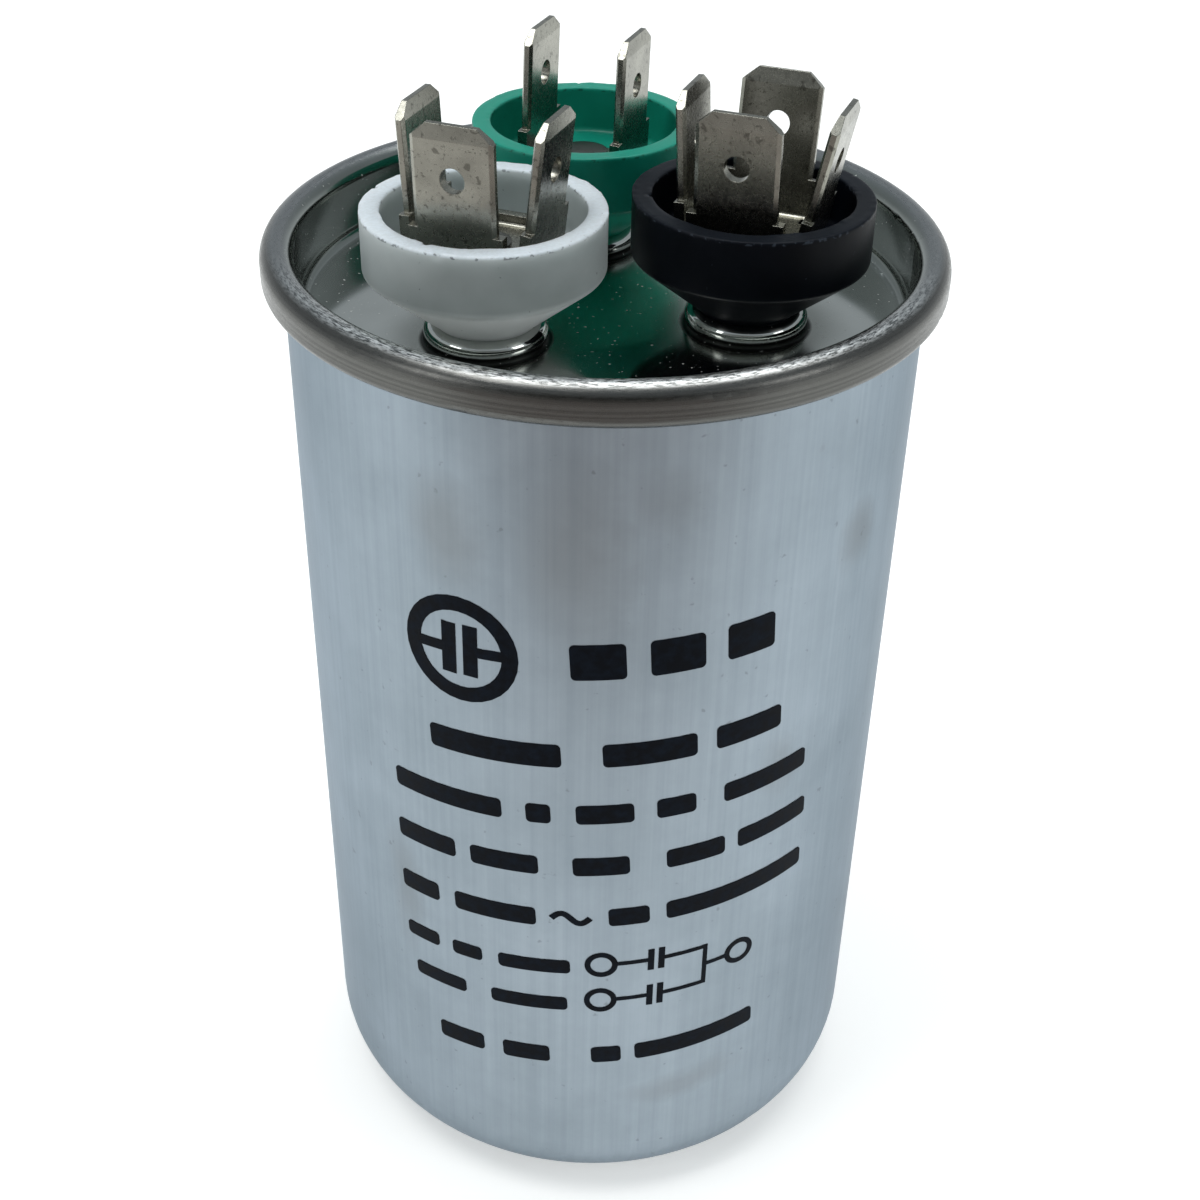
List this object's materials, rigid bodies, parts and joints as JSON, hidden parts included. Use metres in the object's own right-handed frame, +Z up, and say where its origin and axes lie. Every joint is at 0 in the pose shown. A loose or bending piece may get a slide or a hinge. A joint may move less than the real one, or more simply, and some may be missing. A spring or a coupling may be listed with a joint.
{
  "type": "dual run capacitor",
  "caption": "Round dual run capacitor: drawn metal can, double-seamed recessed lid, and coloured cups that hold push-on tabs for common, fan and compressor.",
  "frame": {"origin": "centre of the can's base, on the surface it stands on", "axes": "+Z up along the can's axis towards the terminals; -Y is the printed front"},
  "size_m": [0.0534, 0.0534, 0.0973],
  "materials": {
    "aluminium": "satin, drawn",
    "tinplate": "bright tinplate, duller on the seam",
    "sealing_rubber": "matt",
    "black_plastic": "moulded, blue-black",
    "white_plastic": "moulded, cool white",
    "green_plastic": "moulded, slightly translucent",
    "tinned_brass": "dull tin plate with dark specks",
    "tinned_steel": "dull tin plate",
    "insulating_board": "matt board",
    "copper": "bare wire",
    "film_roll": "metallised film with sprayed metal ends",
    "core_plastic": "natural moulded plastic",
    "wrap_film": "clear amber film"
  },
  "bodies": {
    "root": {"can": "aluminium", "lid": "tinplate", "seam_gasket": "sealing_rubber", "common_cup": "black_plastic", "compressor_cup": "white_plastic", "fan_cup": "green_plastic", "common_terminal": "tinned_brass", "compressor_terminal": "tinned_brass", "fan_terminal": "tinned_brass", "common_rivet": "tinned_steel", "compressor_rivet": "tinned_steel", "fan_rivet": "tinned_steel", "lid_insulator": "insulating_board", "common_lead": "copper", "compressor_lead": "copper", "fan_lead": "copper", "compressor_winding": "film_roll", "fan_winding": "film_roll", "compressor_core": "core_plastic", "fan_core": "core_plastic", "winding_wrap": "wrap_film", "base_insulator": "core_plastic"}
  },
  "joints": []
}
